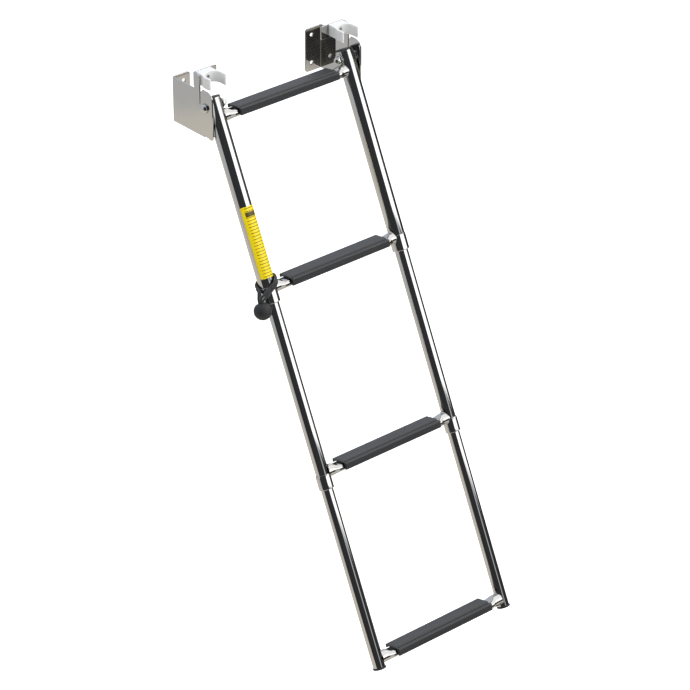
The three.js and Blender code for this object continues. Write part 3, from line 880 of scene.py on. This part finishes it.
# ---- Label, cord and ball ----
def label_skin():
    """A thin strip wrapped round the front of the rail."""
    c = LABEL
    half = radians(c["half_angle"]) * c["radius"]
    low, high = -c["foot"], -c["top"]
    outline = eased([(-half, low, 2), (half, low, 2), (half, high, 2), (-half, high, 2)])
    made = slab([outline], c["half_thick"], 0.1, steps=2, support=0.05)
    scored(made, 0, [half * k / 16 for k in range(-15, 16)])

    def wrapped(u, v, h):
        angle, radius = u / c["radius"], c["radius"] + h
        return radius * sin(angle), -radius * cos(angle), v

    return mapped(made, wrapped)


def catmull_rom(points, per_span=24):
    """Points along a centripetal Catmull-Rom curve through the given points."""
    knots = [points[0] * 2 - points[1], *points, points[-1] * 2 - points[-2]]
    line = []
    for p0, p1, p2, p3 in zip(knots, knots[1:], knots[2:], knots[3:]):
        t1 = max((p1 - p0).length ** 0.5, 1e-4)
        t2 = t1 + max((p2 - p1).length ** 0.5, 1e-4)
        t3 = t2 + max((p3 - p2).length ** 0.5, 1e-4)
        for k in range(per_span):
            t = t1 + (t2 - t1) * k / per_span
            a1 = p0 * ((t1 - t) / t1) + p1 * (t / t1)
            a2 = p1 * ((t2 - t) / (t2 - t1)) + p2 * ((t - t1) / (t2 - t1))
            a3 = p2 * ((t3 - t) / (t3 - t2)) + p3 * ((t - t2) / (t3 - t2))
            b1 = a1 * ((t2 - t) / t2) + a2 * (t / t2)
            b2 = a2 * ((t3 - t) / (t3 - t1)) + a3 * ((t - t1) / (t3 - t1))
            line.append(b1 * ((t2 - t) / (t2 - t1)) + b2 * ((t - t1) / (t2 - t1)))
    return line + [points[-1]]


def evenly(line, count):
    """The line cut into equal steps."""
    marks = [0.0]
    for a, b in zip(line, line[1:]):
        marks.append(marks[-1] + (b - a).length)
    points, at = [], 0
    for k in range(count + 1):
        target = marks[-1] * k / count
        while at < len(marks) - 2 and marks[at + 1] < target:
            at += 1
        span = marks[at + 1] - marks[at]
        points.append(line[at].lerp(line[at + 1], min(max((target - marks[at]) / span, 0), 1)))
    return points


def strand_line(aside, sink=3.0, steps=28):
    """One strand's centreline beside the route's middle line, run on into the ball at both ends."""
    middle = evenly(catmull_rom([Vector((x, -out, -down)) for x, out, down in CORD_ROUTE]), steps)
    points = []
    for i, at in enumerate(middle):
        tangent = (middle[min(i + 1, steps)] - middle[max(i - 1, 0)]).normalized()
        radial = Vector((at.x, at.y, 0)).normalized()
        points.append(at + radial.cross(tangent).normalized() * aside)
    down = Vector((0, 0, -sink))
    return [points[0] + down, *points, points[-1] + down]


def strand(aside, sides=30, ring_step=0.55, relief=0.13, plaits=5, lay=7.5):
    """A braided strand: two sets of plaits cross over its surface, each turning once in its lay."""
    line = catmull_rom(strand_line(aside))
    length = sum((b - a).length for a, b in zip(line, line[1:]))
    points = evenly(line, round(length / ring_step))
    normal = Vector((1, 0, 0))
    rings = []
    for i, at in enumerate(points):
        tangent = (points[min(i + 1, len(points) - 1)] - points[max(i - 1, 0)]).normalized()
        normal = (normal - tangent * normal.dot(tangent)).normalized()
        other = tangent.cross(normal)
        ring = []
        for k in range(sides):
            angle = TURN * k / sides
            twist = TURN * i * ring_step / lay
            plait = max(cos(plaits * (angle + twist)), cos(plaits * (angle - twist)))
            radius = CORD_RADIUS - relief + relief * plait
            ring.append(at + normal * (radius * cos(angle)) + other * (radius * sin(angle)))
        rings.append(ring)
    return loft(rings)


def ball_skin(steps=60, line_depth=0.12, line_half=0.25, recess=4.4, recess_depth=0.1):
    """A ball with a flat top where the cord goes in, and a fine mould line round its middle."""
    radius, flat = BALL["radius"], BALL["flat"]
    last = atan2(flat, sqrt(radius**2 - flat**2))
    angles = [-pi / 2 + (last + pi / 2) * k / steps for k in range(steps + 1)]
    profile = [(radius * cos(t), radius * sin(t)) for t in angles]
    profile = [(r - line_depth if abs(z) < line_half else r, z) for r, z in profile]
    return turned([*profile, (recess, flat - recess_depth), (0, flat - recess_depth)], 72)


# ---- Assembly ----
def build_brackets():
    """Everything that stays on the transom."""
    on_both_sides("folded_bracket", bracket_sheet, "polished_steel", "bracket")
    on_both_sides("rail_clip", clip_body, "white_nylon", "clip")
    for side, sign in SIDES:
        drilled(bpy.data.objects[f"rail_clip_{side}"], sign)
    to_transom = Matrix.Rotation(-pi / 2, 4, "X")
    screw_place = Matrix.Translation((RAIL_X, -PIVOT_OUT, CLIP_CENTRE)) @ to_transom
    on_both_sides("pan_screw", clip_screw, "polished_steel", "clip_screw", screw_place)
    nut_place = Matrix.Translation((RAIL_X, -TOWER["rear"] + CLIP_NUT["gap"], CLIP_CENTRE)) @ to_transom
    on_both_sides("hex_nut", clip_nut, "polished_steel", "clip_nut", nut_place)
    along_x = Matrix.Translation((0, -PIVOT_OUT, 0)) @ Matrix.Rotation(pi / 2, 4, "Y")
    on_both_sides("domed_bolt", pivot_bolt, "polished_steel", "pivot_bolt", along_x)
    on_both_sides("acorn_nut", pivot_nut, "polished_steel", "pivot_nut", along_x)
    for name, x in (("plate_washer", PLATE_WASHER_X), ("nut_washer", NUT_WASHER_X)):
        place = Matrix.Translation((x, -PIVOT_OUT, 0)) @ Matrix.Rotation(pi / 2, 4, "Y")
        on_both_sides(f"{name}_disc", washer_ring, "polished_steel", name, place)


def build_rails():
    """The tubes and their plugs, collars, bushes and caps."""
    upper, middle, lower = "upper_section", "middle_section", "lower_section"
    on_rails("upper_tube", upper_rail, "polished_steel", upper, "upper_rail")
    on_rails("tube_plug", top_plug, "cap_plastic", upper, "top_plug")
    on_rails("upper_socket", upper_collar, "polished_steel", upper, "upper_collar")
    on_rails("guide_bush", slide_bush, "white_nylon", middle, "slide_bush")
    on_rails("middle_tube", middle_rail, "polished_steel", middle, "middle_rail")
    on_rails("lower_socket", lower_collar, "polished_steel", middle, "lower_collar")
    on_rails("lower_tube", lower_rail, "polished_steel", lower, "lower_rail")
    on_rails("tube_foot", foot_cap, "cap_plastic", lower, "foot_cap")


def build_rungs():
    """Each rung with its tread: the body, the radius it is welded to and the size of its weld."""
    steps = (
        ("upper_section", UPPER["outer"], 1.6),
        ("upper_section", UPPER_COLLAR["outer"], 1.6),
        ("middle_section", LOWER_COLLAR["outer"], 1.6),
        ("lower_section", LOWER["outer"], 1.2),
    )
    for number, (body, rail_radius, fillet) in enumerate(steps, 1):
        tilt = radians(RUNG_TILT[number - 1])
        level = LEANING @ shifted(0, 0, -RUNG_DOWN[number - 1])
        made = rung(rail_radius, fillet, tilt)
        piece(f"welded_rung_{number}", made, "polished_steel", body, [f"rung_{number}"], level)
        tilted = level @ shifted(TREAD_SHIFT[number - 1], 0, 0) @ Matrix.Rotation(tilt, 4, "X")
        piece(f"step_pad_{number}", tread(), "tread_plastic", body, [f"tread_{number}"], tilted)


def build_left_rail_extras():
    """The label, and the ball on its looped cord."""
    body = "upper_section"
    rail = LEANING @ shifted(-RAIL_X, 0, 0)
    piece("rail_label", label_skin(), "yellow_label", body, ["label"], rail, baked=False)
    piece("braided_strand_a", strand(-CORD_PITCH / 2), "elastic_cord", body, ["cord_strand_a"], rail)
    piece("braided_strand_b", strand(CORD_PITCH / 2), "elastic_cord", body, ["cord_strand_b"], rail)
    centre = rail @ shifted(BALL["x"], BALL["y"], -BALL["down"])
    piece("rubber_ball", ball_skin(), "black_rubber", body, ["cord_ball"], centre)


build_brackets()
build_rails()
build_rungs()
build_left_rail_extras()


# ---- Studio ----
def heading(azimuth, elevation):
    """A direction from the object, azimuth from outboard towards +X."""
    a, e = radians(azimuth), radians(elevation)
    return Vector((sin(a) * cos(e), -cos(a) * cos(e), sin(e)))


def along(tree, where, direction):
    """The part of a direction that lies along another."""
    made = node(tree, "ShaderNodeVectorMath", {0: where, 1: direction}, operation="DOT_PRODUCT")
    return made.outputs["Value"]


def within_cone(tree, where, direction, outer, inner, low=0.0, high=1.0):
    """From low outside a cone of directions to high inside it, blended between the two half angles."""
    inputs = {
        "Value": along(tree, where, direction),
        "From Min": cos(radians(outer)),
        "From Max": cos(radians(inner)),
        "To Min": low,
        "To Max": high,
    }
    return node(tree, "ShaderNodeMapRange", inputs, interpolation_type="SMOOTHSTEP").outputs["Result"]


def product(tree, values):
    """The values multiplied together."""
    total = values[0]
    for value in values[1:]:
        total = node(tree, "ShaderNodeMath", {0: total, 1: value}, operation="MULTIPLY").outputs[0]
    return total


def blended(tree, factor, a, b):
    """Colour a turning into colour b."""
    inputs = {"Factor": factor, "A": a, "B": b}
    return node(tree, "ShaderNodeMix", inputs, data_type="RGBA").outputs["Result"]


def studio_world():
    """A grey room that the polished steel reflects: a beige floor, darker areas, a light ceiling and one
    bright screen that lies along the rails."""
    world = bpy.data.worlds.new("studio")
    world.use_nodes = True
    tree = world.node_tree
    background = tree.nodes["Background"]
    where = node(tree, "ShaderNodeTexCoord").outputs["Generated"]
    height = node(tree, "ShaderNodeSeparateXYZ", {"Vector": where}).outputs["Z"]

    # Each darker area: its direction, its outer and inner half angle, and how much light it keeps.
    darker = (
        (heading(-44, 6), 54, 47, 0.065),
        (heading(38, -16), 26, 18, 0.07),
        (heading(98, -14), 44, 38, 0.07),
    )
    masks = [within_cone(tree, where, way, outer, inner, 1.0, level) for way, outer, inner, level in darker]
    grey, blue_grey, beige = (0.56, 0.56, 0.56, 1), (0.60, 0.65, 0.72, 1), (0.72, 0.685, 0.62, 1)
    bright, brightest = (1.25, 1.25, 1.25, 1), (1.9, 1.9, 1.9, 1)
    walls = blended(tree, ranged(tree, height, 0, 1, -0.3, 0.25), grey, blue_grey)
    walls = node(tree, "ShaderNodeVectorMath", {0: walls, "Scale": product(tree, masks)}, operation="SCALE")

    down = along(tree, where, Vector((0, -sin(radians(LEAN)), -cos(radians(LEAN)))))
    screen = product(tree, [
        within_cone(tree, where, heading(30, 9), 30, 27),
        ranged(tree, down, 0, 1, -0.20, -0.14),
        ranged(tree, down, 1, 0, 0.30, 0.34),
    ])
    ceiling_light = product(tree, [
        within_cone(tree, where, heading(84, 42), 44, 36),
        ranged(tree, down, 1, 0, -0.10, -0.02),
    ])
    lit = blended(tree, ceiling_light, walls.outputs[0], bright)
    lit = blended(tree, screen, lit, brightest)
    slope = along(tree, where, heading(41, 0) * -0.0072)
    level = node(tree, "ShaderNodeMath", {0: height, 1: slope}, operation="ADD").outputs[0]
    floor_line = ranged(tree, level, 0, 1, -0.4285, -0.4265)
    colour = blended(tree, floor_line, beige, lit)
    tree.links.new(colour, background.inputs["Color"])
    background.inputs["Strength"].default_value = 1
    bpy.context.scene.world = world


def softbox(name, azimuth, elevation, distance, radiance, width=2.6):
    """A soft square light that faces the object and stays out of the picture and the reflections."""
    data = bpy.data.lights.new(name, "AREA")
    data.shape = "SQUARE"
    data.size = width
    data.energy = radiance * pi * width**2
    obj = bpy.data.objects.new(name, data)
    direction = heading(azimuth, elevation)
    obj.location = Vector((0, -0.25, -0.4)) + direction * distance
    obj.rotation_mode = "QUATERNION"
    obj.rotation_quaternion = (-direction).to_track_quat("-Z", "Y")
    obj.visible_camera = obj.visible_glossy = False
    bpy.context.scene.collection.objects.link(obj)


def floor(depth_below, radius=14, rise=6):
    """A wide pale floor that curves up into a backdrop far behind the object on every side."""
    z = CAD_BOX[0].z / MM - depth_below
    metre = 1 / MM
    bend = [(radius + rise * sin(t), rise - rise * cos(t)) for t in (pi / 2 * k / 16 for k in range(17))]
    profile = [(0, z), (radius * metre, z), *((r * metre, z + h * metre) for r, h in bend[1:])]
    made = turned(profile, 96)
    mesh = bpy.data.meshes.new("floor")
    made.to_mesh(mesh)
    made.free()
    mesh.transform(Matrix.Scale(MM, 4))
    mesh.shade_smooth()
    material, tree, shader = new_material("pale_floor")
    shader.inputs["Base Color"].default_value = (0.8, 0.8, 0.8, 1)
    shader.inputs["Roughness"].default_value = 0.9
    shader.inputs["Emission Color"].default_value = (1, 1, 1, 1)
    shader.inputs["Emission Strength"].default_value = 0.8
    mesh.materials.append(material)
    obj = bpy.data.objects.new("floor", mesh)
    bpy.context.scene.collection.objects.link(obj)
    obj.visible_glossy = obj.visible_diffuse = obj.visible_shadow = False


studio_world()
softbox("key_light", azimuth=10, elevation=35, distance=3.2, radiance=1.9)
softbox("top_light", azimuth=-20, elevation=72, distance=3.0, radiance=1.25)
softbox("fill_light", azimuth=-75, elevation=12, distance=3.2, radiance=0.8)
floor(depth_below=300)
bpy.context.scene.view_settings.view_transform = "Standard"
